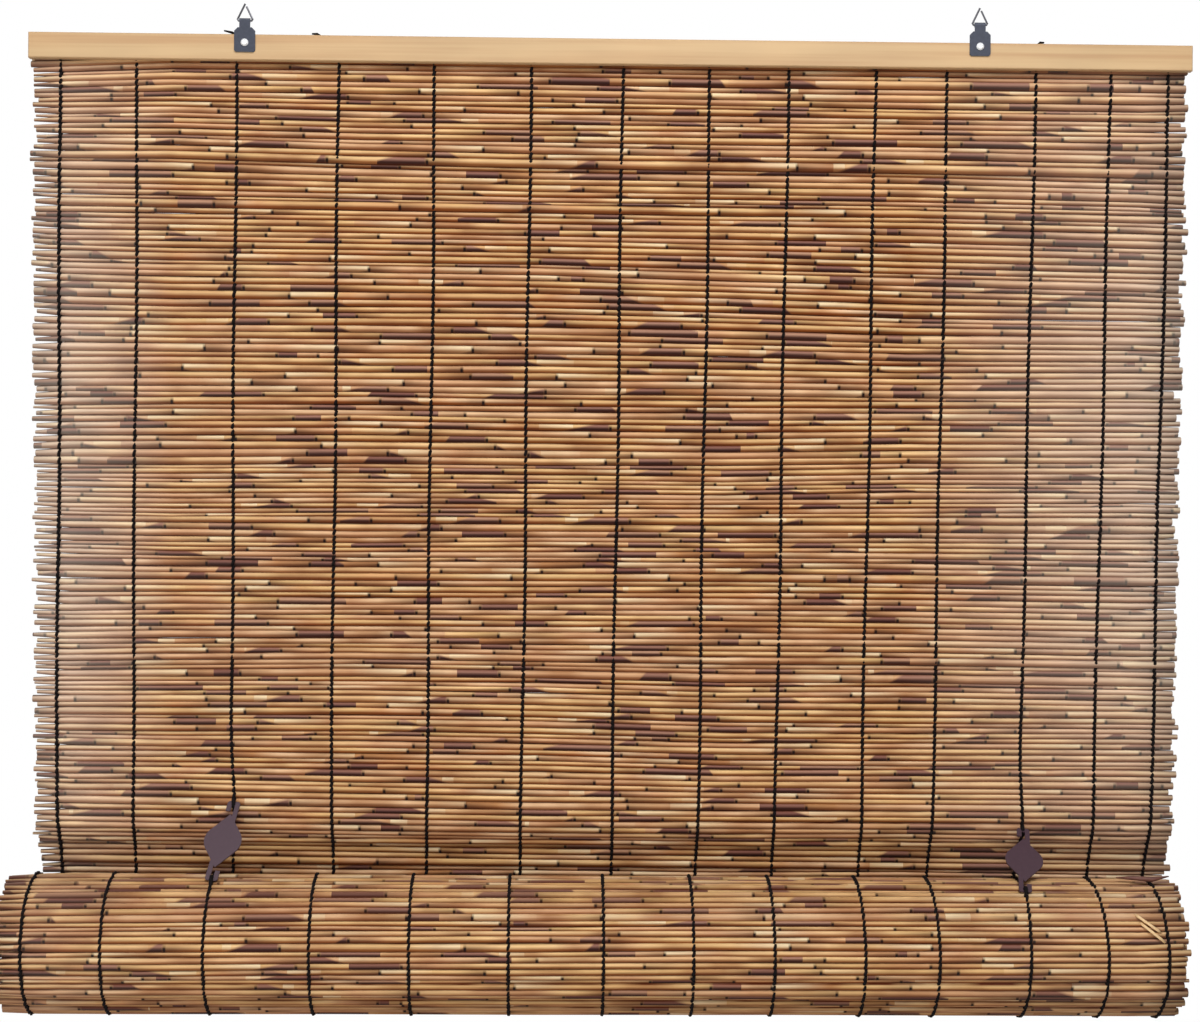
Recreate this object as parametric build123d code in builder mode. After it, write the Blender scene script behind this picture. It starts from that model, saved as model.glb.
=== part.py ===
from build123d import *
from math import acos, asin, atan2, cos, degrees, hypot, pi, radians, sin
import os

# Reed roll-up blind, in millimetres. X runs along the battens, Y towards the wall, Z up.
# The origin is the middle of the rear batten's back face.

# Head battens
batten_length = 1000
batten_height = 22
batten_thickness = 8
batten_edge = 0.8

# Reed mat
mat_end_inset = 2
mat_top_inset = 1.4
reed_diameter = 4.4
reed_pitch = 5.1
reed_web = 1.6
reed_crest_share = 0.38

# Twined strings, placed as shares of half the mat's width
string_width = 2.6
string_thickness = 0.9
string_clearance = 0.05
string_place_shares = (-0.952, -0.82, -0.65, -0.474, -0.308, -0.142, 0.017,
                       0.168, 0.304, 0.456, 0.581, 0.734, 0.865, 0.967)

# How the mat hangs: a slight lean towards the wall, then a bow that carries it behind the roll
lean_angle = 2.3
lean_clearance = 2.5
lean_length = 642
bow_radius = 54

# The roll in front of the mat's lower end; its middle is a share of its radius below the bow
roll_radius = 59
roll_below_bow_share = 0.8
roll_forward = 20.5
roll_turn_growth = 6.6
roll_half_turns = 13
roll_shift = 12
roll_span_count = 9
roll_string_end_share = 0.7

# Gaps in the side fringes, one after every few reeds; their lengths go round in turn
fringe_gap_height = 1.3
fringe_gap_length = 40
fringe_reed_count = 5
fringe_gap_length_shares = (1, 0.55, 0.8, 0.4, 0.95, 0.65)

# Hangers: strap with a curled eye, wire ring and screw
hanger_spacing = 631
strap_width = 18
strap_shoulder_height = 21
strap_neck_width = 9.4
strap_thickness = 1.2
strap_corner = 1.4
strap_shoulder = 3
strap_eye_rise = 27
strap_eye_wrap_angle = 290
strap_screw_rise = 8
strap_bottom_left = -4.4
strap_bottom_right = -0.4
ring_wire = 1.7
ring_wire_side_count = 8
ring_width = 14
ring_height = 14.5
ring_corner = 1.5
ring_leg_shares = (1, 0.84)
ring_clearance = 0.1
screw_side_count = 12
screw_head_diameter = 6.6
screw_head_height = 2
screw_head_rim = 0.8
screw_head_flat = 4.2
screw_shank_diameter = 3
screw_bite = 6.5
screw_recess_width = 0.9
screw_recess_length = 3.6
screw_recess_depth = 1

# Staples that hold the battens together, placed as shares of half the mat's width, between strings
staple_place_shares = (-0.886, 0.0925, 0.916)
staple_crown = 12
staple_wire = 1.2
staple_leg = 19

# Leaf-shaped roll hooks with a claw at each end; shares are of the roll's radius
hook_length_share = 1.356
hook_thickness = 1.2
hook_leaf_length = 54
hook_leaf_width = 40
hook_leaf_round = 16
hook_claw_width = 4
hook_slot_clearance = 0.3
hook_tip_length = 10
hook_corner = 1.5
hook_contact_clearance = 0.1
hook_left_string_count = 3
hook_right_string_count = 12
hook_left_rise_share = 1.231
hook_right_rise_share = 0.892

cut_overrun = 2

# Sizes that follow from the ones above
mat_width = batten_length - 2 * mat_end_inset
mat_gap = reed_diameter + 2 * (string_clearance + string_thickness)
batten_face = 2 * batten_thickness + mat_gap
reed_radius = reed_diameter / 2
mat_plane = -(batten_thickness + mat_gap / 2)
mat_top = batten_height / 2 - mat_top_inset
string_places = [share * mat_width / 2 for share in string_place_shares]

# Path of the mat's middle plane, seen from the side as points (Y, Z) and a lean angle
lean = radians(lean_angle)
clamp_length = mat_top + batten_height / 2 + lean_clearance
lean_start = Vector(mat_plane, mat_top - clamp_length)
bow_start = lean_start + Vector(sin(lean), -cos(lean)) * lean_length
roll_back = roll_radius - roll_forward - reed_radius
bow_turn = acos((cos(lean) + 1 - (roll_back - bow_start.X) / bow_radius) / 2)
bow_middle = bow_start + Vector(cos(lean) - cos(bow_turn), sin(lean) - sin(bow_turn)) * bow_radius
bow_end = bow_middle + Vector(1 - cos(bow_turn), -sin(bow_turn)) * bow_radius
roll_below_bow = roll_below_bow_share * roll_radius
roll_drop = roll_below_bow - bow_end.Y
travel_lean = clamp_length
travel_bow = travel_lean + lean_length
travel_middle = travel_bow + bow_radius * (bow_turn - lean)
travel_bow_end = travel_middle + bow_radius * bow_turn


def mat_frame(travel):
    """Point on the mat's middle plane and its lean, at a length of travel from the top edge."""
    if travel <= travel_lean:
        return Vector(mat_plane, mat_top - travel), 0
    if travel <= travel_bow:
        return lean_start + Vector(sin(lean), -cos(lean)) * (travel - travel_lean), lean
    if travel <= travel_middle:
        angle = lean + (travel - travel_bow) / bow_radius
        return bow_start + Vector(cos(lean) - cos(angle), sin(lean) - sin(angle)) * bow_radius, angle
    angle = max(bow_turn - (travel - travel_middle) / bow_radius, 0)
    return bow_middle + Vector(cos(angle) - cos(bow_turn), sin(angle) - sin(bow_turn)) * bow_radius, angle


def mat_point(travel, offset):
    """Point at an offset from the middle plane: positive towards the wall."""
    point, angle = mat_frame(travel)
    return point + Vector(cos(angle), sin(angle)) * offset


def bend_corner(start, end, offset):
    """Offset of the corners of two tangent spans that go round the outside of a bend."""
    return (bow_radius + offset) / cos((end - start) / bow_radius / 4) - bow_radius


def strand_points(side, offset):
    """A strand down one face of the mat; round a bend its spans are tangents outside and chords inside."""
    points = [mat_point(0, side * offset), mat_point(travel_lean, side * offset)]
    for start, end, outside in ((travel_bow, travel_middle, -1), (travel_middle, travel_bow_end, 1)):
        bend = end - start
        if side == outside:
            raised = bend_corner(start, end, offset)
            points += [mat_point(start + share * bend, side * raised) for share in (1 / 4, 3 / 4)]
        else:
            points += [mat_point(start + share * bend, side * offset) for share in (0, 1 / 2, 1)]
    return points if side < 0 else points + [mat_point(travel_bow_end, offset)]


def roll_point(half_turn, angle, offset):
    """Point on a half turn of the roll; the angle runs from the back, under the roll, to the front."""
    radius = roll_radius - reed_radius - half_turn * roll_turn_growth / 2 + offset
    middle = -roll_forward - half_turn % 2 * roll_turn_growth / 2
    return Vector(middle + radius * cos(angle), -roll_drop - radius * sin(angle))


def turn_points(half_turn, offset, turned=pi, spans=roll_span_count):
    """Corners of the flat spans that go round part of a half turn and touch its circle at their middles."""
    start = half_turn % 2 * pi
    half_span = turned / spans / 2
    radius = roll_radius - reed_radius - half_turn * roll_turn_growth / 2
    raised = (radius + offset) / cos(half_span) - radius
    return [roll_point(half_turn, start + (2 * span + 1) * half_span, raised) for span in range(spans)]


def ridges(point_at, start, end):
    """Points of a row of reeds, from one valley to the last: rise, crest and fall of each."""
    count = round((end - start) / reed_pitch)
    pitch = (end - start) / count
    crest = pitch * reed_crest_share / 2
    points = [point_at(start, reed_web / 2)]
    for reed in range(count):
        middle = start + (reed + 1 / 2) * pitch
        points += [point_at(middle - crest, reed_radius), point_at(middle + crest, reed_radius)]
        points.append(point_at(middle + pitch / 2, reed_web / 2))
    return points


# Staples: a crown let into the rear batten's back face, and two legs through both battens
with BuildPart() as batten_staples:
    for share in staple_place_shares:
        middle = share * mat_width / 2
        with BuildSketch() as staple:
            with Locations((middle, -staple_leg / 2)):
                Rectangle(staple_crown, staple_leg)
            with Locations((middle, -staple_wire - staple_leg / 2)):
                Rectangle(staple_crown - 2 * staple_wire, staple_leg, mode=Mode.SUBTRACT)
        extrude(amount=staple_wire / 2, both=True)
batten_staples.part.label = "batten_staples"

with BuildPart() as rear_batten:
    with BuildSketch(Plane.XZ):
        Rectangle(batten_length, batten_height)
    extrude(amount=batten_thickness)
    chamfer(rear_batten.faces().sort_by(Axis.Y)[-1].edges(), batten_edge)
    add(batten_staples.part, mode=Mode.SUBTRACT)
rear_batten.part.label = "rear_batten"

# Hangers on the front batten: strap, ring and screw on each side
eye_inner = ring_wire / 2 + ring_clearance
eye_outer = eye_inner + strap_thickness
eye_depth = batten_face + strap_thickness - eye_outer
hangers = {"left": (-hanger_spacing / 2, strap_bottom_left),
           "right": (hanger_spacing / 2, strap_bottom_right)}

with BuildPart() as front_batten:
    with BuildSketch(Plane.XZ.offset(batten_face - batten_thickness)):
        Rectangle(batten_length, batten_height)
    extrude(amount=batten_thickness)
    chamfer(front_batten.faces().sort_by(Axis.Y)[0].edges(), batten_edge)
    add(batten_staples.part, mode=Mode.SUBTRACT)
    with BuildSketch(Plane.XZ.offset(batten_face)):
        with Locations(*((x, bottom + strap_screw_rise) for x, bottom in hangers.values())):
            RegularPolygon(screw_shank_diameter / 2, screw_side_count)
    extrude(amount=-screw_bite, mode=Mode.SUBTRACT)
front_batten.part.label = "front_batten"

os.makedirs("parts", exist_ok=True)
for piece in (batten_staples, rear_batten, front_batten):
    export_step(piece.part, f"parts/{piece.part.label}.step")

for side, (x, bottom) in hangers.items():
    eye_height = bottom + strap_eye_rise
    shoulder = bottom + strap_shoulder_height
    eye_middle = Vector(-eye_depth, eye_height)

    # The strap is one stamped plate whose neck curls back round the ring's lower bar
    with BuildPart() as hanger_strap:
        with BuildSketch(Plane.XZ.offset(batten_face)) as plate:
            with Locations((x, (bottom + shoulder) / 2)):
                Rectangle(strap_width, shoulder - bottom)
            chamfer(plate.vertices().group_by(Axis.Y)[0], strap_corner)
            chamfer(plate.vertices().group_by(Axis.Y)[-1], strap_shoulder)
            with Locations((x, (bottom + eye_height) / 2)):
                Rectangle(strap_neck_width, eye_height - bottom)
            with Locations((x, bottom + strap_screw_rise)):
                RegularPolygon(screw_shank_diameter / 2, screw_side_count, mode=Mode.SUBTRACT)
        extrude(amount=strap_thickness)
        with BuildSketch(Plane.YZ.offset(x - strap_neck_width / 2)):
            with BuildLine():
                outer_curl = CenterArc(eye_middle, eye_outer, 180, -strap_eye_wrap_angle)
                inner_curl = CenterArc(eye_middle, eye_inner, 180, -strap_eye_wrap_angle)
                Line(outer_curl @ 0, inner_curl @ 0)
                Line(outer_curl @ 1, inner_curl @ 1)
            make_face()
        extrude(amount=strap_neck_width)
    hanger_strap.part.label = f"hanger_strap_{side}"
    export_step(hanger_strap.part, f"parts/hanger_strap_{side}.step")

    # The ring is one bent wire; its two ends meet at the top, the right one lower
    apex = Vector(x, -eye_depth, eye_height + ring_height)
    feet = [Vector(x + half, -eye_depth, eye_height) for half in (-ring_width / 2, ring_width / 2)]
    ends = [foot + (apex - foot) * share for foot, share in zip(feet, ring_leg_shares)]
    with BuildPart() as hanger_ring:
        with BuildLine() as wire:
            corners = []
            for foot, before, after in ((feet[0], ends[0], feet[1]), (feet[1], feet[0], ends[1])):
                corners += [foot + (toward - foot).normalized() * ring_corner for toward in (before, after)]
            Polyline(ends[0], *corners, ends[1])
        with BuildSketch(Plane(wire.line @ 0, z_dir=wire.line % 0)):
            RegularPolygon(ring_wire / 2, ring_wire_side_count)
        sweep(transition=Transition.RIGHT)
    hanger_ring.part.label = f"hanger_ring_{side}"
    export_step(hanger_ring.part, f"parts/hanger_ring_{side}.step")

# Pan-head screws through the straps into the front batten, each with a cross recess
head_seat = batten_face + strap_thickness
head_fall = screw_head_height - screw_head_rim
head_taper = degrees(atan2((screw_head_diameter - screw_head_flat) / 2, head_fall))
screw_places = [(x, bottom + strap_screw_rise) for x, bottom in hangers.values()]
with BuildPart() as hanger_screws:
    with BuildSketch(Plane.XZ.offset(batten_face - screw_bite)):
        with Locations(*screw_places):
            RegularPolygon(screw_shank_diameter / 2, screw_side_count)
    extrude(amount=screw_bite + strap_thickness)
    with BuildSketch(Plane.XZ.offset(head_seat)):
        with Locations(*screw_places):
            RegularPolygon(screw_head_diameter / 2, screw_side_count)
    extrude(amount=screw_head_rim)
    with BuildSketch(Plane.XZ.offset(head_seat + screw_head_rim)):
        with Locations(*screw_places):
            RegularPolygon(screw_head_diameter / 2, screw_side_count)
    extrude(amount=head_fall, taper=head_taper)
    with BuildSketch(Plane.XZ.offset(head_seat + screw_head_height)):
        with Locations(*screw_places):
            Rectangle(screw_recess_length, screw_recess_width)
            Rectangle(screw_recess_width, screw_recess_length)
    extrude(amount=-screw_recess_depth, mode=Mode.SUBTRACT)
hanger_screws.part.label = "hanger_screws"
export_step(hanger_screws.part, "parts/hanger_screws.step")

# Hanging mat: one wall, ridged by its reeds on both faces, plain where the battens and the roll hide it
mat_drop = Vector(0, -roll_below_bow)


def mat_face(side):
    """Points down one face of the mat; side is 1 for the wall side and -1 for the room side."""
    face_top = [mat_point(0, side * reed_radius), mat_point(travel_lean, side * reed_radius)]
    face_reeds = ridges(lambda travel, offset: mat_point(travel, side * offset),
                        travel_lean, travel_bow_end)
    if side < 0:
        hidden = mat_point(travel_bow_end, side * reed_radius)
        return face_top + face_reeds + [hidden, hidden + mat_drop]
    behind_roll = ridges(lambda travel, offset: bow_end + Vector(offset, -travel), 0, -mat_drop.Y)
    return face_top + face_reeds + behind_roll[1:]


with BuildPart() as hanging_mat:
    with BuildSketch(Plane.YZ.offset(-mat_width / 2)):
        with BuildLine():
            Polyline(*mat_face(-1), *reversed(mat_face(1)), close=True)
        make_face()
    extrude(amount=mat_width)
    add(batten_staples.part, mode=Mode.SUBTRACT)
    reed_count = round((travel_bow_end - travel_lean) / reed_pitch)
    valley_step = (travel_bow_end - travel_lean) / reed_count
    gap_valleys = range(fringe_reed_count, int(lean_length / valley_step), fringe_reed_count)
    for turn, share in enumerate(fringe_gap_length_shares):
        gaps = []
        for valley in gap_valleys[turn::len(fringe_gap_length_shares)]:
            point, angle = mat_frame(travel_lean + valley * valley_step)
            gaps += [Location((end, point.X, point.Y), (degrees(angle), 0, 0))
                     for end in (-mat_width / 2, mat_width / 2)]
        with Locations(*gaps):
            Box(2 * share * fringe_gap_length, reed_diameter + cut_overrun, fringe_gap_height,
                mode=Mode.SUBTRACT)
hanging_mat.part.label = "hanging_mat"
export_step(hanging_mat.part, "parts/hanging_mat.step")

# The roll: the same wall wound inwards in half turns; the outer turn shows its reeds, the others lie in flats


def roll_ridges(half_turn):
    """Reeds along the outside of one half turn."""
    radius = roll_radius - reed_radius - half_turn * roll_turn_growth / 2
    turned = half_turn % 2 * pi
    return ridges(lambda travel, offset: roll_point(half_turn, turned + travel / radius, offset),
                  0, pi * radius)


with BuildPart() as mat_roll:
    with BuildSketch(Plane.YZ.offset(-mat_width / 2 - roll_shift)):
        with BuildLine():
            outside = roll_ridges(0) + roll_ridges(1)[1:]
            inside = []
            for half_turn in range(roll_half_turns):
                start = half_turn % 2 * pi
                inside.append(roll_point(half_turn, start, -reed_radius))
                inside += turn_points(half_turn, -reed_radius)
                if half_turn > 1:
                    outside.append(roll_point(half_turn, start, reed_radius))
                    outside += turn_points(half_turn, reed_radius)
            end = [roll_point(half_turn, start + pi, offset) for offset in (reed_radius, -reed_radius)]
            Polyline(*outside, *end, *reversed(inside), close=True)
        make_face()
    extrude(amount=mat_width)
mat_roll.part.label = "mat_roll"
export_step(mat_roll.part, "parts/mat_roll.step")

# Strings: each is doubled over the mat's top edge and runs down both faces; behind the roll the wall-side
# strand crosses to the string's place on the roll and goes most of the way round it
string_inner = reed_radius + string_clearance
string_outer = string_inner + string_thickness
end_turn = roll_string_end_share * pi
end_spans = round(roll_span_count * roll_string_end_share)
for number, x in enumerate(string_places, start=1):
    with BuildPart() as warp_string:
        with BuildSketch(Plane.YZ.offset(x - string_width / 2)):
            with BuildLine():
                loop_top = Vector(0, string_thickness)
                outside_room = strand_points(-1, string_outer)
                outside_wall = strand_points(1, string_outer)
                Polyline(*reversed(outside_room), outside_room[0] + loop_top, outside_wall[0] + loop_top,
                         *outside_wall, *reversed(strand_points(1, string_inner)),
                         *strand_points(-1, string_inner), close=True)
            make_face()
        extrude(amount=string_width)
        with BuildSketch(Plane.XZ.offset(-roll_back - string_outer)):
            with BuildLine():
                Polyline((x - string_width / 2, bow_end.Y), (x + string_width / 2, bow_end.Y),
                         (x + string_width / 2 - roll_shift, -roll_drop),
                         (x - string_width / 2 - roll_shift, -roll_drop), close=True)
            make_face()
        extrude(amount=string_thickness)
        with BuildSketch(Plane.YZ.offset(x - roll_shift - string_width / 2)):
            with BuildLine():
                faces = []
                for offset in (string_inner, string_outer):
                    faces.append([roll_point(0, 0, offset), *turn_points(0, offset),
                                  *turn_points(1, offset, end_turn, end_spans),
                                  roll_point(1, pi + end_turn, offset)])
                Polyline(*faces[0], *reversed(faces[1]), close=True)
            make_face()
        extrude(amount=string_width)
    warp_string.part.label = f"warp_string_{number:02d}"
    export_step(warp_string.part, f"parts/warp_string_{number:02d}.step")

# Roll hooks: flat leaf plates that reach from a string on the mat down to the same string on the roll
hook_length = hook_length_share * roll_radius
claw_middle = (string_width + hook_slot_clearance + hook_claw_width) / 2
claw_outer = claw_middle + hook_claw_width / 2
claw_inner = claw_middle - hook_claw_width / 2
hooks = {"left": (hook_left_string_count, hook_left_rise_share),
         "right": (hook_right_string_count, hook_right_rise_share)}
for side, (count, rise_share) in hooks.items():
    string_place = string_places[count - 1]
    raised = bend_corner(travel_bow, travel_middle, string_outer)
    upper = mat_point(travel_bow_end - rise_share * roll_radius, -raised - hook_contact_clearance)
    roll_middle = Vector(-roll_forward - roll_turn_growth / 2, -roll_drop)
    string_reach = roll_radius - roll_turn_growth / 2 - reed_radius + string_outer
    reach = string_reach / cos(end_turn / end_spans / 2) + hook_contact_clearance
    to_roll = roll_middle - upper
    span = hypot(to_roll.X, to_roll.Y)
    touch = min(hook_length, (span**2 - reach**2) ** (1 / 2))
    swing = acos((span**2 + touch**2 - reach**2) / (2 * span * touch))
    slope = asin(-to_roll.X / span) + swing
    down = Vector(-sin(slope), -cos(slope)) * hook_length
    top = Vector(string_place, upper.X, upper.Y)
    foot = Vector(string_place - roll_shift, (upper + down).X, (upper + down).Y)
    along = (top - foot).normalized()
    across = (Vector(1, 0, 0) - along * along.X).normalized()
    with BuildPart() as roll_hook:
        with BuildSketch(Plane((top + foot) / 2, x_dir=across, z_dir=across.cross(along))) as plate:
            with BuildLine():
                Polyline((0, hook_leaf_length / 2), (hook_leaf_width / 2, 0), (0, -hook_leaf_length / 2),
                         (-hook_leaf_width / 2, 0), close=True)
            make_face()
            leaf_corners = plate.vertices().sort_by(SortBy.DISTANCE, reverse=True)
            fillet(leaf_corners[2:], hook_leaf_round)
            for end in (1, -1):
                tip = hook_length / 2
                with BuildLine():
                    Polyline(*((end * u, end * v) for u, v in (
                        (claw_outer, 0), (claw_outer, tip - hook_corner), (claw_outer - hook_corner, tip),
                        (hook_corner - claw_outer, tip), (-claw_outer, tip - hook_corner),
                        (-claw_outer, tip - hook_tip_length), (-claw_inner, tip - hook_tip_length),
                        (-claw_inner, tip - hook_claw_width), (claw_inner, tip - hook_claw_width),
                        (claw_inner, 0))), close=True)
                make_face()
        extrude(amount=hook_thickness)
    roll_hook.part.label = f"roll_hook_{side}"
    export_step(roll_hook.part, f"parts/roll_hook_{side}.step")
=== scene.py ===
import math

import bpy
import numpy as np
from mathutils import Matrix, Vector


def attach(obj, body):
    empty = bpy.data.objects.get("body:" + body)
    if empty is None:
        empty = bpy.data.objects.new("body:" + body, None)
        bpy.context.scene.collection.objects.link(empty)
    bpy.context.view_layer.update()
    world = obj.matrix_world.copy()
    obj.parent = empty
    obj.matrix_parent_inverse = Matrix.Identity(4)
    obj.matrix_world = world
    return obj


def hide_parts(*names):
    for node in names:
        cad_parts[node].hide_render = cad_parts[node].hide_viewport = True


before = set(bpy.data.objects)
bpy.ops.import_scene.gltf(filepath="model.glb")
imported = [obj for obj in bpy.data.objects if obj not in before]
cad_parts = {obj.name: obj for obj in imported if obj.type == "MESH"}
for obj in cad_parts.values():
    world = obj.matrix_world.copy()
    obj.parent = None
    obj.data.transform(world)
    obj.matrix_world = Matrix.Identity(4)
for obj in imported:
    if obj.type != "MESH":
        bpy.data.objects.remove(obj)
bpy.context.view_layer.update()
mm = 0.001
rng = np.random.default_rng(412)
print("frame loaded")


# sRGB hex to linear colour
def hexColour(code):
    parts = np.array([int(code[i:i + 2], 16) for i in (1, 3, 5)]) / 255
    linear = np.where(parts <= 0.04045, parts / 12.92, ((parts + 0.055) / 1.055) ** 2.4)
    return (*linear.tolist(), 1.0)


# one node with its settings, inputs and links; a link is given as (node, output)
def addNode(tree, kind, inputs=None, **settings):
    node = tree.nodes.new(kind)
    for name, value in settings.items():
        setattr(node, name, value)
    for name, value in (inputs or {}).items():
        if isinstance(value, tuple) and isinstance(value[0], bpy.types.Node):
            tree.links.new(value[0].outputs[value[1]], node.inputs[name])
        else:
            node.inputs[name].default_value = value
    return node


def newMaterial(name):
    material = bpy.data.materials.new(name)
    material.use_nodes = True
    tree = material.node_tree
    return material, tree, tree.nodes["Principled BSDF"]


# grids of points (count, rows, columns, 3) to a mesh; closed columns join the last to the first, caps close
# both ends with a fan about the mean of the end row; the attribute rim is 1 on the grid and 0 at fan middles
def gridMesh(name, grids, closed=True, caps=True, attributes=None):
    count, rows, columns = grids.shape[:3]
    ends = [0, -1] if caps else []
    verts = np.concatenate([grids.reshape(-1, 3), *[grids[:, end].mean(axis=1) for end in ends]])
    index = np.arange(count * rows * columns).reshape(count, rows, columns)
    along = np.concatenate([index, index[:, :, :1]], axis=2) if closed else index
    quads = np.stack([along[:, :-1, :-1], along[:, :-1, 1:], along[:, 1:, 1:], along[:, 1:, :-1]], axis=-1)
    quads = quads.reshape(-1, 4)
    fans = []
    for part, end in enumerate(ends):
        ring = along[:, end] if end else along[:, 0, ::-1]
        middle = np.broadcast_to(index.size + part * count + np.arange(count)[:, None], ring[:, 1:].shape)
        fans.append(np.stack([ring[:, :-1], ring[:, 1:], middle], axis=-1).reshape(-1, 3))
    loops = np.concatenate([quads.ravel(), *[fan.ravel() for fan in fans]])
    sizes = np.concatenate([np.full(len(quads), 4), *[np.full(len(fan), 3) for fan in fans]])
    mesh = bpy.data.meshes.new(name)
    mesh.vertices.add(len(verts))
    mesh.vertices.foreach_set("co", verts.astype(np.float32).ravel())
    mesh.loops.add(len(loops))
    mesh.loops.foreach_set("vertex_index", loops.astype(np.int32))
    mesh.polygons.add(len(sizes))
    starts = np.concatenate([[0], np.cumsum(sizes)[:-1]])
    mesh.polygons.foreach_set("loop_start", starts.astype(np.int32))
    mesh.polygons.foreach_set("use_smooth", np.arange(len(sizes)) < len(quads))  # end caps stay flat
    for key, values in {**(attributes or {}), "rim": np.ones(index.shape)}.items():
        middles = [values[:, end].mean(axis=1) * (key != "rim") for end in ends]
        attribute = mesh.attributes.new(key, "FLOAT", "POINT")
        attribute.data.foreach_set("value", np.concatenate([values.ravel(), *middles]).astype(np.float32))
    mesh.update()
    mesh.validate()
    obj = bpy.data.objects.new(name, mesh)
    bpy.context.scene.collection.objects.link(obj)
    return obj


# The mat's middle plane, seen from the side: straight in the battens, a lean towards the wall,
# two bends that carry it behind the roll, a straight stretch, then half turns that wind inwards. In mm.
matPath = {
    "plane": -11.15, "top": 9.6, "clamp": 23.1, "lean": math.radians(2.3), "leanLength": 642, "bend": 54,
    "rollRadius": 56.8, "rollForward": 20.5, "growth": 6.6, "halfTurns": 13, "below": 47.2}


# point (Y, Z) and normal towards the wall or out of the roll, for lengths of travel from the mat's top edge:
# a straight run is its start + travel along it, a bend or half turn is its centre + radius x (cos, sin) of
# the travel over the radius
def matFrame(travel):
    p = matPath
    lean, bend = p["lean"], p["bend"]
    leanStart = np.array([p["plane"], p["top"] - p["clamp"]])
    bendStart = leanStart + np.array([math.sin(lean), -math.cos(lean)]) * p["leanLength"]
    rollBack = p["rollRadius"] - p["rollForward"]
    turn = math.acos((math.cos(lean) + 1 - (rollBack - bendStart[0]) / bend) / 2)
    middle = bendStart + np.array([math.cos(lean) - math.cos(turn), math.sin(lean) - math.sin(turn)]) * bend
    bendEnd = middle + np.array([1 - math.cos(turn), -math.sin(turn)]) * bend
    sLean = p["clamp"]
    sBend = sLean + p["leanLength"]
    sMiddle = sBend + bend * (turn - lean)
    sEnd = sMiddle + bend * turn
    sRoll = sEnd + p["below"]
    s = np.asarray(travel, dtype=float)
    aFirst = lean + (s - sBend) / bend
    aSecond = turn - (s - sMiddle) / bend
    halfRadius = p["rollRadius"] - np.arange(p["halfTurns"]) * p["growth"] / 2
    halfStart = sRoll + np.concatenate([[0], np.cumsum(np.pi * halfRadius)])
    half = np.clip(np.searchsorted(halfStart, s, side="right") - 1, 0, p["halfTurns"] - 1)
    aRoll = half % 2 * np.pi + (s - halfStart[half]) / halfRadius[half]
    zones = [s <= sLean, s <= sBend, s <= sMiddle, s <= sEnd, s <= sRoll]
    y = np.select(zones, [
        np.full_like(s, p["plane"]),
        leanStart[0] + math.sin(lean) * (s - sLean),
        bendStart[0] + (math.cos(lean) - np.cos(aFirst)) * bend,
        middle[0] + (np.cos(aSecond) - math.cos(turn)) * bend,
        np.full_like(s, bendEnd[0])],
        -p["rollForward"] - half % 2 * p["growth"] / 2 + halfRadius[half] * np.cos(aRoll))
    z = np.select(zones, [
        p["top"] - s,
        leanStart[1] - math.cos(lean) * (s - sLean),
        bendStart[1] + (math.sin(lean) - np.sin(aFirst)) * bend,
        middle[1] + (np.sin(aSecond) - math.sin(turn)) * bend,
        bendEnd[1] - (s - sEnd)],
        bendEnd[1] - p["below"] - halfRadius[half] * np.sin(aRoll))
    still = np.zeros_like(s)
    angle = np.select(zones, [still, still + lean, aFirst, aSecond, still], -aRoll)
    return np.stack([y, z], -1), np.stack([np.cos(angle), np.sin(angle)], -1), (sRoll, halfStart)


rollTravel, halfStarts = matFrame(np.zeros(1))[2]
print("mat path ready, roll starts at", round(float(rollTravel), 1), "mm")


# Reeds: tubes along X, packed side by side down the mat. Each has its own thickness, a butt and a tip,
# ragged ends and a left tip drawn thin, so that the fringe lets light through. In mm.
reeds = {
    "sides": 8, "pitch": 5.1, "thicknessSpread": 0.17, "thicknessLimit": 0.35, "knobble": 0.012,
    "taper": 0.12, "overlap": 1.24, "halfLength": 497, "ragged": (1.4, 1.8), "rollShift": -12,
    "depthSpread": 0.45, "depthRipple": 0.1, "wander": 0.42, "wanderLimit": 0.65, "stalkStep": 1.37,
    "sway": 0.9, "swayWaves": ((1, 150, 47), (0.6, 83, -31)),  # share, length across, length down
    "swayTop": 20, "swayBlend": 60, "swayLeast": 0.35,
    "fan": 4.6, "fanStart": -400, "fanWidth": 80, "fanLimit": 1.15, "fanTop": 23, "fanFade": 45,
    # facing sets how far a reed's front counts as its underside, which takes painted shade; the settings that
    # follow it, up to tipSpread, shape a painted pale glow towards the side edges
    "facing": 0.35, "glowStart": 370, "glowWidth": 125, "glowMiddle": 370, "glowReach": 370,
    "hangingGlow": 0.65, "rollGlow": 0.3, "tipSpread": (0.35, 1.25),
    "ringShares": (0, 0.03, 0.12, 0.28, 0.44, 0.6, 0.76, 0.96, 1),
    "tipShares": (0.5, 0.95, 1, 1, 1, 1, 1, 0.97, 0.8)}


# travel of each reed's rings: running total of thicknesses at that ring, stretched to fill the length
def packReeds(start, end, shift):
    r = reeds
    n = int(round((end - start) / r["pitch"]))
    ends = rng.normal(0, 1, (2, n)) * np.array(r["ragged"])[:, None]
    left, right = shift - r["halfLength"] + ends[0], shift + r["halfLength"] + ends[1]
    x = left[:, None] + (right - left)[:, None] * np.array(r["ringShares"])
    limit = r["thicknessLimit"]
    thick = 1 + np.clip(rng.normal(0, r["thicknessSpread"], n), -limit, limit)[:, None]
    lean = rng.choice([-1.0, 1.0], n)[:, None] * r["taper"] * x / r["halfLength"]
    thick = thick * (1 + lean + rng.normal(0, r["knobble"], x.shape))
    total = np.cumsum(thick, axis=0)
    scale = (end - start) / total[-1]
    return x, start + (total - thick / 2) * scale, thick * scale / 2 * r["overlap"]
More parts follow.
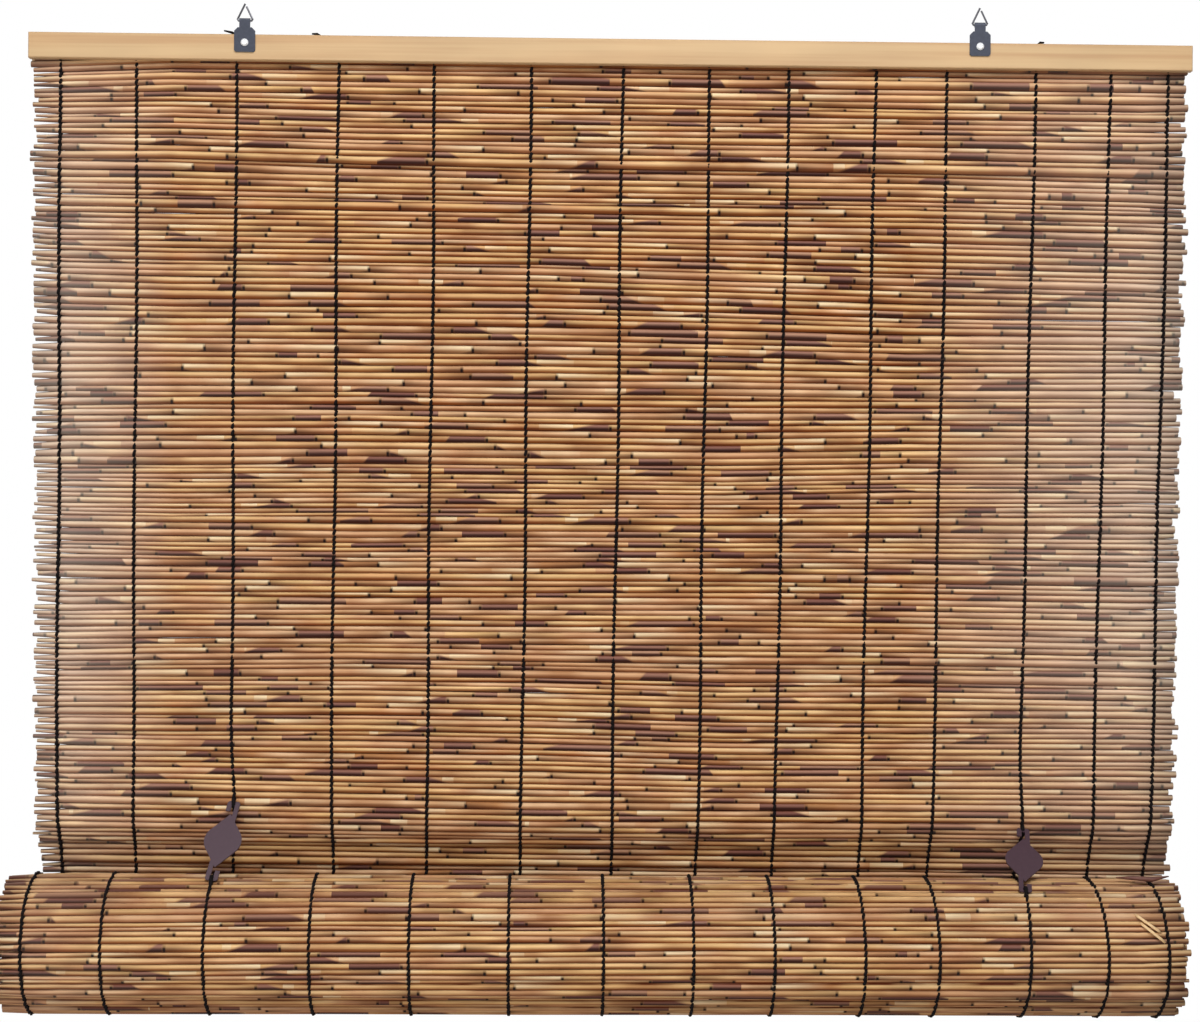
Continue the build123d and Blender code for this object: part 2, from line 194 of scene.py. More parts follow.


# ring of a reed = mat point + sway + radius x (cos a, sin a) in the mat's cross section; crown is 1 on the
# mat's two faces and 0 between neighbours, low runs from -1 on a reed's upper side to 1 on its underside, and
# the share of a painted pale glow grows towards the mat's side edges
def reedBundle(name, x, travel, radius, sideGlowStrength):
    r = reeds
    n = len(x)
    sway = r["sway"] * sum(
        share * np.sin(x / across + travel / along) for share, across, along in r["swayWaves"])
    sway = sway * np.clip((travel - r["swayTop"]) / r["swayBlend"], 0, 1)
    sway = sway * np.clip((rollTravel - r["swayBlend"] - travel) / r["swayBlend"], r["swayLeast"], 1)
    fan = np.clip((r["fanStart"] - x) / r["fanWidth"], 0, r["fanLimit"])
    fan = fan * np.exp(-np.clip(travel - r["fanTop"], 0, None) / r["fanFade"])
    wander = np.clip(rng.normal(0, r["wander"], x.shape), -r["wanderLimit"], r["wanderLimit"])
    centre, normal, _ = matFrame(travel + sway + wander + r["fan"] * fan)
    down = np.stack([normal[..., 1], -normal[..., 0]], -1)
    tips = 1 - (1 - np.array(r["tipShares"])) * rng.uniform(*r["tipSpread"], n)[:, None]
    radius = (radius * tips)[..., None]
    depth = rng.normal(0, r["depthSpread"], n)[:, None] + r["depthRipple"] * rng.normal(0, 1, x.shape)
    depth = depth[..., None]
    sides = np.arange(r["sides"]) * 2 * np.pi / r["sides"]
    outward, below = depth + radius * np.cos(sides), radius * np.sin(sides)
    y = centre[..., :1] + outward * normal[..., :1] + below * down[..., :1]
    z = centre[..., 1:] + outward * normal[..., 1:] + below * down[..., 1:]
    grid = np.stack([np.broadcast_to(x[..., None], y.shape), y, z], -1) * mm
    flip = rng.choice([-1.0, 1.0], n)[:, None, None]
    stalk = grid[..., 0] * flip + (np.arange(n) * r["stalkStep"] + rng.uniform(0, 1, n))[:, None, None]
    tone = np.broadcast_to(rng.uniform(0, 1, n)[:, None, None], y.shape)
    # painted glow: a pale veil of light on the reeds towards the mat's side edges, strongest half way down
    edge = np.clip((np.abs(x) - r["glowStart"]) / r["glowWidth"], 0, 1)
    middle = np.clip(1.3 - np.abs(travel - r["glowMiddle"]) / r["glowReach"], 0.3, 1)  # most half way down
    return gridMesh(name, grid, attributes={
        "stalk": stalk, "tone": tone, "crown": np.broadcast_to(np.abs(np.cos(sides)), y.shape),
        "low": -(r["facing"] * np.cos(sides) * normal[..., 1:] + np.sin(sides) * down[..., 1:]),
        "sideGlow": np.broadcast_to((sideGlowStrength * edge * middle)[..., None], y.shape)})


hangingPack = packReeds(0, rollTravel, 0)
rollPack = packReeds(rollTravel, halfStarts[-1], reeds["rollShift"])
hangingReeds = reedBundle("hanging_reeds", *hangingPack, reeds["hangingGlow"])
rollReeds = reedBundle("roll_reeds", *rollPack, reeds["rollGlow"])
for obj, node in ((hangingReeds, "hanging_mat"), (rollReeds, "mat_roll")):
    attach(obj, "blind")
    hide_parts(node)
print("reeds:", len(hangingPack[0]), "hanging,", len(rollPack[0]), "in the roll")


# Reed skin: dried river reed, beige to straw-gold with a waxy sheen. From a node runs a dark, dull sheath
# with a slanting mouth, and clean pale stem beyond it; a dark bud sits low on each node. Painted shade
# darkens each reed's and each sheath's underside and the crevices between reeds, and a painted pale glow
# lightens the mat's sides. Lengths along a stem are shares of an internode.
reedSkinLook = {
    "internode": 0.12, "fibresPerMetre": (14, 1300, 1300),  # fibres about 70 mm long and 0.8 mm wide
    "stemEnds": ("#8f5f3c", "#ffdcb2"), "stems": (
        (0.14, "#c48a54"), (0.28, "#f4ca9c"), (0.42, "#e0ac7e"), (0.55, "#fad094"), (0.68, "#eabf80"),
        (0.82, "#e4ab74")),
    "huskEnds": ("#7d4d3f", "#c29474"), "husk": "#a37561", "huskShade": "#3a120a", "bud": "#1e0804",
    "weathered": "#aa7242", "sideGlow": "#f4e2d0", "pale": "#ffe9bd", "under": "#8d5a22", "creviceShade": "#521d00",
    "hollow": "#1a0c06", "specular": 0.28, "waxy": 0.36, "dry": 0.95}


def reedMaterial():
    material, tree, shader = newMaterial("dried_reed")
    stalk = addNode(tree, "ShaderNodeAttribute", attribute_name="stalk")
    tone = addNode(tree, "ShaderNodeAttribute", attribute_name="tone")
    crown = addNode(tree, "ShaderNodeAttribute", attribute_name="crown")
    low = addNode(tree, "ShaderNodeAttribute", attribute_name="low")
    coords = addNode(tree, "ShaderNodeTexCoord")
    look = reedSkinLook
    place = addNode(tree, "ShaderNodeMath", {0: (stalk, "Fac"), 1: 1 / look["internode"]},
                    operation="MULTIPLY")
    cells = addNode(tree, "ShaderNodeTexVoronoi", {"W": (place, 0), "Scale": 1.0, "Randomness": 0.95},
                    voronoi_dimensions="1D")
    random = addNode(tree, "ShaderNodeSeparateColor", {0: (cells, "Color")})
    past = addNode(tree, "ShaderNodeMath", {0: (place, 0), 1: (cells, "W")}, operation="SUBTRACT")
    # length of the sheath: none on four nodes in ten
    reach = addNode(tree, "ShaderNodeMapRange", {0: (random, 0), 1: 0.42, 2: 1.0, 3: 0.0, 4: 0.6})
    # sheath: from the node to a slanting mouth, whose edge is thin and lets the stem show through
    rise = addNode(tree, "ShaderNodeMapRange", {0: (past, 0), 1: 0.0, 2: 0.02, 3: 0.0, 4: 1.0})
    slant = addNode(tree, "ShaderNodeMapRange", {0: (random, 2), 3: 0.015, 4: 0.13})
    mouth = addNode(tree, "ShaderNodeMath", {0: (low, "Fac"), 1: (slant, 0), 2: (reach, 0)},
                    operation="MULTIPLY_ADD")
    inside = addNode(tree, "ShaderNodeMath", {0: (mouth, 0), 1: (past, 0)}, operation="SUBTRACT")
    thin = addNode(tree, "ShaderNodeMath", {0: (slant, 0), 1: 0.6}, operation="MULTIPLY")
    under = addNode(tree, "ShaderNodeMapRange", {0: (inside, 0), 1: 0.0, 2: (thin, 0), 3: 0.0, 4: 1.0})
    sheath = addNode(tree, "ShaderNodeMath", {0: (rise, 0), 1: (under, 0)}, operation="MULTIPLY")
    # clean stem beyond the mouth
    beyond = addNode(tree, "ShaderNodeMath", {0: (past, 0), 1: (reach, 0)}, operation="SUBTRACT")
    fade = addNode(tree, "ShaderNodeMapRange", {0: (beyond, 0), 1: 0.0, 2: 0.4, 3: 1.0, 4: 0.0})
    bare = addNode(tree, "ShaderNodeMath", {0: (beyond, 0), 1: 0.0}, operation="GREATER_THAN")
    clean = addNode(tree, "ShaderNodeMapRange", {0: (random, 2), 1: 0.25, 2: 0.8, 3: 0.0, 4: 0.9})
    paleFade = addNode(tree, "ShaderNodeMath", {0: (fade, 0), 1: (bare, 0)}, operation="MULTIPLY")
    pale = addNode(tree, "ShaderNodeMath", {0: (paleFade, 0), 1: (clean, 0)}, operation="MULTIPLY")
    # bud on the node, with a stain before it
    near = addNode(tree, "ShaderNodeMath", {0: (past, 0)}, operation="ABSOLUTE")
    spot = addNode(tree, "ShaderNodeMapRange", {0: (near, 0), 1: 0.006, 2: 0.018, 3: 1.0, 4: 0.0})
    lowSide = addNode(tree, "ShaderNodeMapRange", {0: (low, "Fac"), 1: -0.7, 2: 0.0, 3: 0.2, 4: 1.0})
    stain = addNode(tree, "ShaderNodeMapRange", {0: (past, 0), 1: -0.25, 2: 0.0, 3: 0.0, 4: 0.5})
    before = addNode(tree, "ShaderNodeMath", {0: (past, 0), 1: 0.0}, operation="LESS_THAN")
    stained = addNode(tree, "ShaderNodeMath", {0: (stain, 0), 1: (before, 0)}, operation="MULTIPLY")
    dark = addNode(tree, "ShaderNodeMath", {0: (spot, 0), 1: (stained, 0)}, operation="MAXIMUM")
    bud = addNode(tree, "ShaderNodeMath", {0: (dark, 0), 1: (lowSide, 0)}, operation="MULTIPLY")
    # stem colours by reed, with long fibres
    ownTone = addNode(tree, "ShaderNodeMath", {0: (tone, "Fac"), 1: 0.5}, operation="MULTIPLY")
    weight = addNode(tree, "ShaderNodeMapRange", {0: (near, 0), 1: 0.2, 2: 0.5, 3: 0.5, 4: 0.0})
    offset = addNode(tree, "ShaderNodeMath", {0: (random, 1), 1: 0.5}, operation="SUBTRACT")
    middleTone = addNode(tree, "ShaderNodeMath", {0: (ownTone, 0), 1: 0.25}, operation="ADD")
    stemTone = addNode(tree, "ShaderNodeMath", {0: (offset, 0), 1: (weight, 0), 2: (middleTone, 0)},
                       operation="MULTIPLY_ADD")
    stem = addNode(tree, "ShaderNodeValToRGB", {0: (stemTone, 0)})
    for end, code in zip(stem.color_ramp.elements, look["stemEnds"]):
        end.color = hexColour(code)
    for at, code in look["stems"]:
        stem.color_ramp.elements.new(at).color = hexColour(code)
    fibreMap = addNode(tree, "ShaderNodeMapping", {0: (coords, "Object"), "Scale": look["fibresPerMetre"]})
    fibre = addNode(tree, "ShaderNodeTexNoise", {"Vector": (fibreMap, 0), "Scale": 1.0, "Detail": 3.0})
    fibreTone = addNode(tree, "ShaderNodeMapRange", {0: (fibre, 0), 1: 0.3, 2: 0.7, 3: 0.8, 4: 1.15})
    drift = addNode(tree, "ShaderNodeTexNoise", {"W": (place, 0), "Scale": 1.6, "Detail": 2.0},
                    noise_dimensions="1D")
    driftShare = addNode(tree, "ShaderNodeMapRange", {0: (drift, 0), 1: 0.42, 2: 0.7, 3: 0.0, 4: 0.7})
    weathered = addNode(tree, "ShaderNodeMix",
                        {0: (driftShare, 0), 6: (stem, 0), 7: hexColour(look["weathered"])}, data_type="RGBA")
    # painted glow: reeds towards the side edges are lightened towards a pale cream
    sideGlow = addNode(tree, "ShaderNodeAttribute", attribute_name="sideGlow")
    sideLit = addNode(tree, "ShaderNodeMix",
                       {0: (sideGlow, "Fac"), 6: (weathered, 2), 7: hexColour(look["sideGlow"])}, data_type="RGBA")
    paled = addNode(tree, "ShaderNodeMix", {0: (pale, 0), 6: (sideLit, 2), 7: hexColour(look["pale"])},
                    data_type="RGBA")
    husk = addNode(tree, "ShaderNodeValToRGB", {0: (random, 1)})
    for end, code in zip(husk.color_ramp.elements, look["huskEnds"]):
        end.color = hexColour(code)
    husk.color_ramp.elements.new(0.55).color = hexColour(look["husk"])
    # painted shade: the sheath darkens to near black towards its underside
    huskShadeShare = addNode(tree, "ShaderNodeMapRange", {0: (low, "Fac"), 1: -0.4, 2: 0.25, 3: 0.0, 4: 0.85})
    huskShaded = addNode(tree, "ShaderNodeMix", {0: (huskShadeShare, 0), 6: (husk, 0), 7: hexColour(look["huskShade"])},
                      data_type="RGBA")
    sheathed = addNode(tree, "ShaderNodeMix", {0: (sheath, 0), 6: (paled, 2), 7: (huskShaded, 2)},
                       data_type="RGBA")
    budded = addNode(tree, "ShaderNodeMix", {0: (bud, 0), 6: (sheathed, 2), 7: hexColour(look["bud"])},
                     data_type="RGBA")
    streaked = addNode(tree, "ShaderNodeMix", {0: 1.0, 6: (budded, 2), 7: (fibreTone, 0)}, data_type="RGBA",
                       blend_type="MULTIPLY")
    # painted shade: browner undersides and dark brown crevices between reeds; a painted pale glow at the
    # sides
    shade = addNode(tree, "ShaderNodeMapRange", {0: (tone, "Fac"), 3: 0.75, 4: 1.0})
    underside = addNode(tree, "ShaderNodeMapRange",
                        {0: (low, "Fac"), 1: -0.5, 2: 0.34, 3: 0.0, 4: (shade, 0)})
    undersideShaded = addNode(tree, "ShaderNodeMix",
                      {0: (underside, 0), 6: (streaked, 2), 7: hexColour(look["under"])},
                      data_type="RGBA", blend_type="MULTIPLY")
    # painted shade in the crevices between reeds, its strength varied along the stem
    creviceShade = addNode(tree, "ShaderNodeTexNoise", {"W": (place, 0), "Scale": 2.3, "Detail": 1.0},
                   noise_dimensions="1D")
    creviceShadeShare = addNode(tree, "ShaderNodeMapRange", {0: (creviceShade, 0), 1: 0.35, 2: 0.62, 3: 0.6, 4: 1.0})
    crevice = addNode(tree, "ShaderNodeMapRange",
                      {0: (crown, "Fac"), 1: 0.42, 2: 0.86, 3: (creviceShadeShare, 0), 4: 0.0})
    creviceShaded = addNode(tree, "ShaderNodeMix", {0: (crevice, 0), 6: (undersideShaded, 2), 7: hexColour(look["creviceShade"])},
                    data_type="RGBA")
    # painted glow: a further pale veil over the reeds at the sides
    glowVeil = addNode(tree, "ShaderNodeMath", {0: (sideGlow, "Fac"), 1: 0.35}, operation="MULTIPLY")
    glowVeiled = addNode(tree, "ShaderNodeMix", {0: (glowVeil, 0), 6: (creviceShaded, 2), 7: hexColour(look["sideGlow"])},
                    data_type="RGBA")
    # painted shade: a dark disc on each flat cut end stands for the shaded hollow inside the reed
    rim = addNode(tree, "ShaderNodeAttribute", attribute_name="rim")
    hollow = addNode(tree, "ShaderNodeMath", {0: (rim, "Fac"), 1: 0.6}, operation="LESS_THAN")
    colour = addNode(tree, "ShaderNodeMix", {0: (hollow, 0), 6: (glowVeiled, 2), 7: hexColour(look["hollow"])},
                     data_type="RGBA")
    bump = addNode(tree, "ShaderNodeBump", {"Height": (fibre, 0), "Strength": 0.25, "Distance": 0.0002})
    tree.links.new(colour.outputs[2], shader.inputs["Base Color"])
    tree.links.new(bump.outputs[0], shader.inputs["Normal"])
    # roughness: waxy along the crown of a reed, dry in the crevices, on its underside and on buds
    gloss = addNode(tree, "ShaderNodeMapRange",
                    {0: (crown, "Fac"), 1: 0.6, 2: 1.0, 3: look["dry"], 4: look["waxy"]})
    dusted = addNode(tree, "ShaderNodeMapRange",
                     {0: (low, "Fac"), 1: -0.3, 2: 0.4, 3: (gloss, 0), 4: 0.9})
    matt = addNode(tree, "ShaderNodeMapRange", {0: (bud, 0), 3: (dusted, 0), 4: 1.0})
    tree.links.new(matt.outputs[0], shader.inputs["Roughness"])
    shader.inputs["Specular IOR Level"].default_value = look["specular"]
    return material


reedSkin = reedMaterial()
for obj in (hangingReeds, rollReeds):
    obj.data.materials.append(reedSkin)
print("reed material done")


# Strings: two strands twined about the mat. Bars are where strings 3 and 12 cross the hooks' claws: travel,
# height over the mat's middle plane and the slot's place along X. In mm.
strings = {
    "places": (
        -474.1, -408.4, -323.7, -236.1, -153.4, -70.7, 8.5, 83.7, 151.4, 227.1, 289.3, 365.5, 430.8, 481.6),
    "strandRadius": 1.45, "spread": 0.6, "lift": 0.4, "squareness": 0.75, "sides": 5, "perReed": 4,
    "drift": -4.2, "driftStart": 40, "driftLength": 640, "driftLimit": 1.1, "rollShift": -12,
    "slideLength": 47, "waver": 0.7, "waverLength": 61, "waverStep": 2.1, "topLean": -5, "topLeanWidth": 480,
    "wrapShare": 0.85, "barReach": 4, "barSharpness": 6, "pullReach": 45, "bars": {
        3: ((661.3, -6.9, -324.4), (halfStarts[1] + 68, 7.4, -335.2)),
        12: ((681.9, -6.9, 364.8), (halfStarts[1] + 57, 7.4, 354))}}


# travel and radius of every reed where a string crosses it, read between that reed's rings
def crossings(pack, place):
    x, travel, radius = pack
    after = np.clip((x < place).sum(axis=1), 1, x.shape[1] - 1)[:, None]
    x0, x1 = np.take_along_axis(x, after - 1, 1), np.take_along_axis(x, after, 1)
    share = (place - x0) / (x1 - x0)
    return np.hstack([
        np.take_along_axis(v, after - 1, 1) * (1 - share) + np.take_along_axis(v, after, 1) * share
        for v in (travel, radius)])


# tubes about paths (count, points, 3): point + radius x (cos a, sin a) in the plane square to the path
def tubeGrid(path, radius, sides, axis):
    tangent = np.gradient(path, axis=1)
    tangent /= np.linalg.norm(tangent, axis=-1, keepdims=True)
    across = np.cross(tangent, np.array(axis, dtype=float))
    across /= np.linalg.norm(across, axis=-1, keepdims=True)
    other = np.cross(tangent, across)
    turns = np.arange(sides) * 2 * np.pi / sides
    ring = np.cos(turns)[:, None] * across[:, :, None, :] + np.sin(turns)[:, None] * other[:, :, None, :]
    return path[:, :, None, :] + np.reshape(radius, (*np.shape(radius), 1, 1)) * ring


# a strand = mat point + (sideways sin, outward cos) of a phase that grows by half a turn from reed to reed,
# so one strand is in front of a reed and the other behind it; the cos is squared off so that it hugs the reed
def stringPair(number, place):
    q = strings
    end = rollTravel + (halfStarts[2] - rollTravel) * q["wrapShare"]
    steps = np.arange(0, end, reeds["pitch"] / q["perReed"])
    crossed = np.concatenate([crossings(hangingPack, place), crossings(rollPack, place + q["rollShift"])])
    centre, normal, _ = matFrame(steps)
    x = place + q["drift"] * np.clip((steps - q["driftStart"]) / q["driftLength"], 0, q["driftLimit"])
    slide = np.clip((steps - (rollTravel - q["slideLength"])) / q["slideLength"], 0, 1)
    waver = q["waver"] * np.sin(steps / q["waverLength"] + number * q["waverStep"])
    x = x + (q["rollShift"] - q["drift"]) * slide + waver * (1 - slide)
    overTop = np.clip((steps - halfStarts[1]) / (halfStarts[2] - halfStarts[1]) * 2, 0, 1)
    x = x + q["topLean"] * max(place, 0) / q["topLeanWidth"] * overTop
    phases = np.pi * np.interp(steps, crossed[:, 0], np.arange(len(crossed))) + np.array([[0.0], [np.pi]])
    lift = np.interp(steps, crossed[:, 0], crossed[:, 1]) + q["lift"]
    out = lift * np.sign(np.cos(phases)) * np.abs(np.cos(phases)) ** q["squareness"]
    for bar, height, slot in q["bars"].get(number, ()):  # over the bar of a hook's claw, drawn to its slot
        share = 1 / (1 + ((steps - bar) / q["barReach"]) ** q["barSharpness"])
        out = out * (1 - share) + height * share
        x = x + (slot - x) * np.exp(-((steps - bar) / q["pullReach"]) ** 2)
    side = q["spread"] * np.sin(phases)
    path = np.stack([x + side, centre[:, 0] + out * normal[:, 0], centre[:, 1] + out * normal[:, 1]], -1)
    grid = tubeGrid(path, q["strandRadius"], q["sides"], (1, 0, 0)) * mm
    along = np.broadcast_to((steps * mm)[None, :, None], grid.shape[:3])
    return gridMesh(f"warp_string_{number:02d}_twine", grid, attributes={"along": along})


# Waxed black cotton twine: matte, with fine plies; drawn a little coarser than life so that they show
def twineMaterial():
    material, tree, shader = newMaterial("black_cotton_twine")
    along = addNode(tree, "ShaderNodeAttribute", attribute_name="along")
    coords = addNode(tree, "ShaderNodeTexCoord")
    plyLength, fuzzPerMetre = 0.0016, 900.0  # plies 1.6 mm long, fuzz about 1 mm
    ply = addNode(tree, "ShaderNodeMath", {0: (along, "Fac"), 1: 2 * math.pi / plyLength},
                  operation="MULTIPLY")
    wave = addNode(tree, "ShaderNodeMath", {0: (ply, 0)}, operation="SINE")
    fuzz = addNode(tree, "ShaderNodeTexNoise",
                   {"Vector": (coords, "Object"), "Scale": fuzzPerMetre, "Detail": 2.0})
    colour = addNode(tree, "ShaderNodeMix", {0: (fuzz, 0), 6: hexColour("#060404"), 7: hexColour("#150f10")},
                     data_type="RGBA")
    bump = addNode(tree, "ShaderNodeBump", {"Height": (wave, 0), "Strength": 0.3, "Distance": 0.0003})
    tree.links.new(colour.outputs[2], shader.inputs["Base Color"])
    tree.links.new(bump.outputs[0], shader.inputs["Normal"])
    shader.inputs["Roughness"].default_value = 0.8
    shader.inputs["Specular IOR Level"].default_value = 0.12
    return material


twine = twineMaterial()
for number, place in enumerate(strings["places"], start=1):
    pair = stringPair(number, place)
    pair.data.materials.append(twine)
    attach(pair, "blind")
    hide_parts(f"warp_string_{number:02d}")
print("strings:", len(strings["places"]))

# Loose ends: three string tails over the battens, two splinters of a broken reed and a curled husk on the
# roll. Each has its paths in mm, a radius at each point and a number of sides.
looseEnds = {
    "string_tails": ([
        [(-323.7, -11.2, 8), (-324.2, -12.5, 12.4), (-327.5, -17.5, 13.3), (-333, -22.6, 13.6)],
        [(-251, -11.2, 8), (-252, -12.2, 12), (-255, -14, 13.6), (-259, -15.5, 13.4)],
        [(367, -11.2, 8), (367.5, -12.2, 12), (369.5, -14, 13.6), (372.5, -15.5, 13.4)]],
        (1.3, 1.3, 1.2, 0.7), 6),
    "broken_reed": ([
        [(442.5, -70, -730), (446, -74, -732.2), (458, -77.8, -740.6), (462.5, -75.5, -744)],
        [(446, -73, -736.4), (449.5, -77, -739), (461, -80.5, -748), (465.5, -78, -751.5)]],
        (1.2, 1.2, 1.2, 1.2), 5),
    "reed_husk": ([
        [(436, -32, -705.4), (449, -36, -704.8), (465, -39, -705.6), (480, -37, -703.2)]],
        (0.5, 1.9, 2.3, 0.5), 7)}


# Broken reed: clean split pith, pale cream; husk: a dry sheath leaf, dark brown and dull
def stripMaterial(name, low, high):
    material, tree, shader = newMaterial(name)
    coords = addNode(tree, "ShaderNodeTexCoord")
    fibresPerMetre = (60, 900, 900)  # fibres about 17 mm long and 1 mm wide
    fibreMap = addNode(tree, "ShaderNodeMapping", {0: (coords, "Object"), "Scale": fibresPerMetre})
    fibre = addNode(tree, "ShaderNodeTexNoise", {"Vector": (fibreMap, 0), "Scale": 1.0, "Detail": 2.0})
    colour = addNode(tree, "ShaderNodeMix", {0: (fibre, 0), 6: hexColour(low), 7: hexColour(high)},
                     data_type="RGBA")
    tree.links.new(colour.outputs[2], shader.inputs["Base Color"])
    shader.inputs["Roughness"].default_value = 0.6
    return material


looseSkins = {
    "string_tails": twine,
    "broken_reed": stripMaterial("split_reed_pith", "#d8a86c", "#fde2b4"),
    "reed_husk": stripMaterial("dry_reed_husk", "#34130c", "#7a4a3c")}
for name, (paths, radii, sides) in looseEnds.items():
    path = np.array(paths, dtype=float)
    grid = tubeGrid(path, np.broadcast_to(radii, path.shape[:2]), sides, (0.35, 0.1, 1)) * mm
    loose = gridMesh(name, grid, attributes={"along": grid[..., 0]})
    loose.data.materials.append(looseSkins[name])
    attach(loose, "blind")
print("loose ends:", len(looseEnds))


# Planed softwood: pale, with long grain along the batten and a few darker lines
def battenMaterial():
    material, tree, shader = newMaterial("planed_softwood")
    coords = addNode(tree, "ShaderNodeTexCoord")
    grainPerMetre, cloudsPerMetre = (3, 160, 160), (9, 30, 30)  # grain 6 mm apart, clouds 110 by 33 mm
    grainMap = addNode(tree, "ShaderNodeMapping", {0: (coords, "Object"), "Scale": grainPerMetre})
    grain = addNode(tree, "ShaderNodeTexNoise", {"Vector": (grainMap, 0), "Scale": 1.0, "Detail": 4.0})
    cloudMap = addNode(tree, "ShaderNodeMapping", {0: (coords, "Object"), "Scale": cloudsPerMetre})
    cloud = addNode(tree, "ShaderNodeTexNoise", {"Vector": (cloudMap, 0), "Scale": 1.0, "Detail": 2.0})
    wood = addNode(tree, "ShaderNodeValToRGB", {0: (grain, 0)})
    wood.color_ramp.elements[0].position = 0.3
    wood.color_ramp.elements[0].color = hexColour("#ba9267")
    wood.color_ramp.elements[1].position = 0.62
    wood.color_ramp.elements[1].color = hexColour("#caa97d")
    patch = addNode(tree, "ShaderNodeMapRange", {0: (cloud, 0), 1: 0.35, 2: 0.7, 3: 0.93, 4: 1.05})
    colour = addNode(tree, "ShaderNodeMix", {0: 1.0, 6: (wood, 0), 7: (patch, 0)}, data_type="RGBA",
                     blend_type="MULTIPLY")
    bump = addNode(tree, "ShaderNodeBump", {"Height": (grain, 0), "Strength": 0.15, "Distance": 0.0003})
    tree.links.new(colour.outputs[2], shader.inputs["Base Color"])
    tree.links.new(bump.outputs[0], shader.inputs["Normal"])
    shader.inputs["Roughness"].default_value = 0.55
    return material


# Painted, blackened, plated or bare steel: satin, with faint mottling of 1 to 3 mm; grit is its count a metre
def steelMaterial(name, low, high, roughness, metallic, grit):
    material, tree, shader = newMaterial(name)
    coords = addNode(tree, "ShaderNodeTexCoord")
    mottle = addNode(tree, "ShaderNodeTexNoise", {"Vector": (coords, "Object"), "Scale": grit, "Detail": 3.0})
    colour = addNode(tree, "ShaderNodeMix", {0: (mottle, 0), 6: hexColour(low), 7: hexColour(high)},
                     data_type="RGBA")
    bump = addNode(tree, "ShaderNodeBump", {"Height": (mottle, 0), "Strength": 0.08, "Distance": 0.0002})
    tree.links.new(colour.outputs[2], shader.inputs["Base Color"])
    tree.links.new(bump.outputs[0], shader.inputs["Normal"])
    shader.inputs["Roughness"].default_value = roughness
    shader.inputs["Metallic"].default_value = metallic
    return material


def dress(node, material):
    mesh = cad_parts[node].data
    mesh.materials.clear()
    mesh.materials.append(material)


softwood = battenMaterial()
strapSteel = steelMaterial("blackened_strap_steel", "#272a33", "#3b3f4d", 0.45, 0.5, 420.0)
hookPaint = steelMaterial("painted_hook_steel", "#39242f", "#432d39", 0.55, 0.0, 300.0)
wireSteel = steelMaterial("drawn_ring_wire", "#3c3c41", "#66666b", 0.36, 0.9, 700.0)
screwZinc = steelMaterial("zinc_plated_screw", "#eceef0", "#fbfcfd", 0.35, 0.4, 900.0)
stapleSteel = steelMaterial("staple_wire", "#8c8c8c", "#b4b4b4", 0.4, 0.9, 700.0)
for node in ("rear_batten", "front_batten"):
    dress(node, softwood)
for side in ("left", "right"):
    dress(f"hanger_strap_{side}", strapSteel)
    dress(f"roll_hook_{side}", hookPaint)
    dress(f"hanger_ring_{side}", wireSteel)
dress("hanger_screws", screwZinc)
dress("batten_staples", stapleSteel)
print("hardware dressed")

# Camera fitted to the photograph: place in mm, turn, tilt and roll in degrees, focal length and picture
# width in pixels, sensor in mm
view = {
    "place": (-44.1, -1860.5, -396.9), "turn": 1.108, "tilt": 0.074, "roll": 0.445, "focal": 2143.4,
    "width": 1200, "sensor": 36}
turn, tilt, roll = (math.radians(view[k]) for k in ("turn", "tilt", "roll"))
forward = Vector((math.sin(turn) * math.cos(tilt), math.cos(turn) * math.cos(tilt), math.sin(tilt)))
right = Vector((math.cos(turn), -math.sin(turn), 0))
up = right.cross(forward)
cameraRight = right * math.cos(roll) + up * math.sin(roll)
cameraUp = up * math.cos(roll) - right * math.sin(roll)
camera = bpy.data.objects.new("camera", bpy.data.cameras.new("camera"))
camera.data.lens = view["sensor"] * view["focal"] / view["width"]
camera.data.sensor_width = view["sensor"]
camera.data.sensor_fit = "HORIZONTAL"
basis = Matrix((cameraRight, cameraUp, -forward)).transposed().to_4x4()
camera.matrix_world = Matrix.Translation(Vector(view["place"]) * mm) @ basis
bpy.context.scene.collection.objects.link(camera)
bpy.context.scene.camera = camera

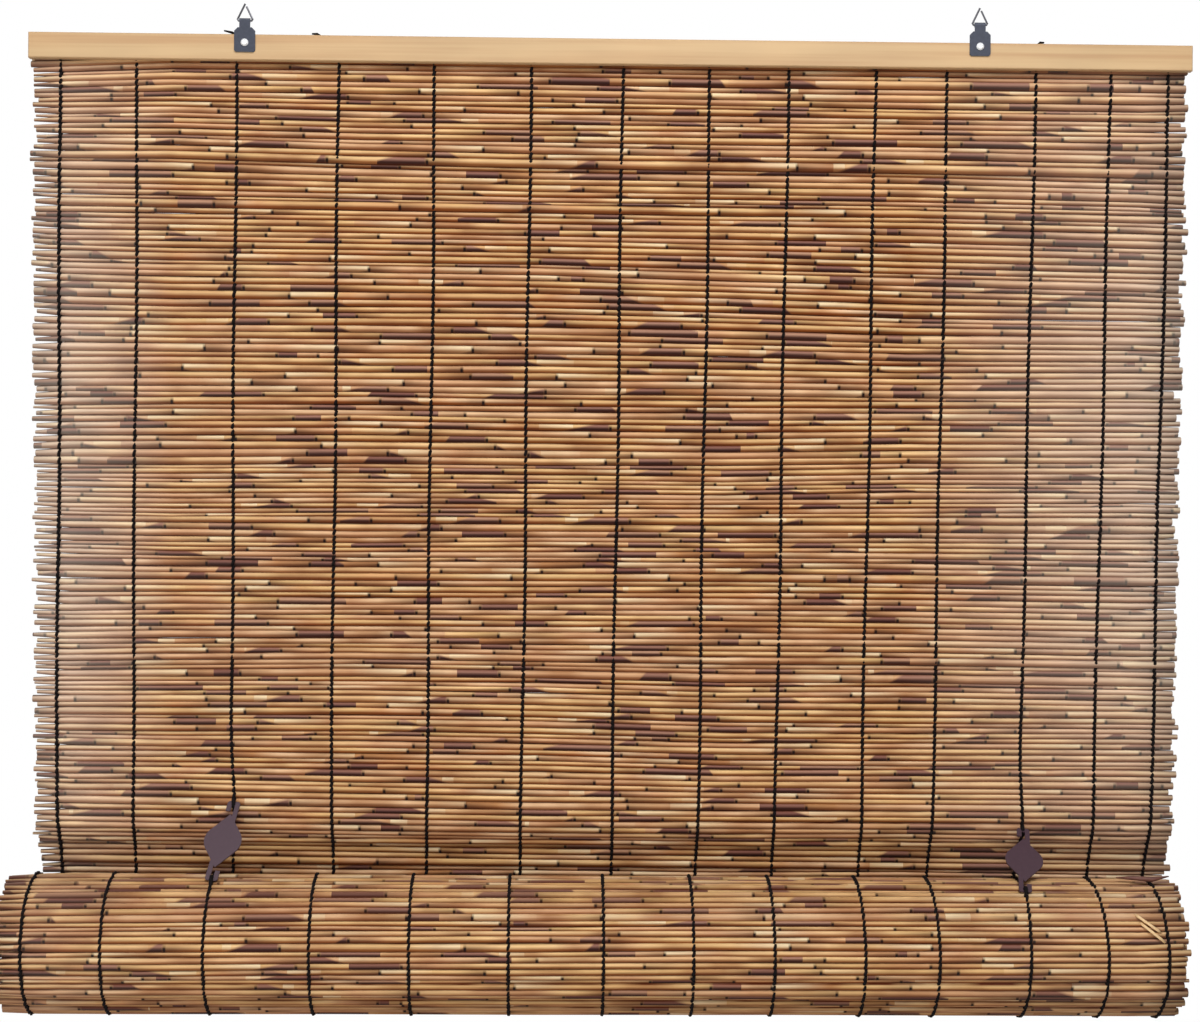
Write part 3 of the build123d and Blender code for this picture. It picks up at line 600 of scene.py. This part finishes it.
# Studio light: a broad key above and in front, a soft fill from low on the left and one lamp behind, each
# with its place in metres, size and power, all aimed at the middle of the blind; the room around is white
lamps = {
    "key": ((0.2, -2.0, 1.45), 1.2, 59), "fill": ((-1.2, -2.4, -1.2), 2.4, 38),
    "back": ((0.6, 2.2, 0.9), 1.6, 34)}
blindMiddle = Vector((0, 0, -0.4))
for name, (place, size, power) in lamps.items():
    data = bpy.data.lights.new(name, "AREA")
    data.size = size
    data.energy = power
    lamp = bpy.data.objects.new(name, data)
    aim = (blindMiddle - Vector(place)).to_track_quat("-Z", "Y")
    lamp.matrix_world = Matrix.Translation(place) @ aim.to_matrix().to_4x4()
    bpy.context.scene.collection.objects.link(lamp)
world = bpy.data.worlds.new("studio")
bpy.context.scene.world = world
world.use_nodes = True
tree = world.node_tree
rays = addNode(tree, "ShaderNodeLightPath")
clear = addNode(tree, "ShaderNodeMath", {0: (rays, "Is Glossy Ray"), 1: (rays, "Is Transmission Ray")},
                operation="MAXIMUM")
seen = addNode(tree, "ShaderNodeMath", {0: (rays, "Is Camera Ray"), 1: (clear, 0)}, operation="MAXIMUM")
roomLight, roomSeen = 0.13, 1.0  # dim as a lamp, white where it is seen
strength = addNode(tree, "ShaderNodeMapRange", {0: (seen, 0), 3: roomLight, 4: roomSeen})
tree.nodes["Background"].inputs["Color"].default_value = (1, 1, 1, 1)
tree.links.new(strength.outputs[0], tree.nodes["Background"].inputs["Strength"])

# Studio floor: pale matte paper, with a little glow for the camera so that it doesn't go grey far from the
# lamps; in metres
floorLook = {"colour": "#e4e2de", "glow": 0.5, "height": -2.2, "halfWidth": 6, "front": -6, "back": 3}
floorSides = np.array([-floorLook["halfWidth"], floorLook["halfWidth"]])
floorX, floorY = np.meshgrid(floorSides, [floorLook["front"], floorLook["back"]])
floorGrid = np.stack([floorX, floorY, np.full(floorX.shape, floorLook["height"])], -1)[None]
floor = gridMesh("floor", floorGrid, closed=False, caps=False)
floorMaterial, tree, shader = newMaterial("pale_studio_floor")
shader.inputs["Base Color"].default_value = hexColour(floorLook["colour"])
shader.inputs["Roughness"].default_value = 0.8
shader.inputs["Emission Color"].default_value = hexColour(floorLook["colour"])
rays = addNode(tree, "ShaderNodeLightPath")
glow = addNode(tree, "ShaderNodeMath", {0: (rays, "Is Camera Ray"), 1: floorLook["glow"]},
               operation="MULTIPLY")
tree.links.new(glow.outputs[0], shader.inputs["Emission Strength"])
floor.data.materials.append(floorMaterial)
bpy.context.scene.view_settings.view_transform = "Standard"
print("camera, light and floor set")
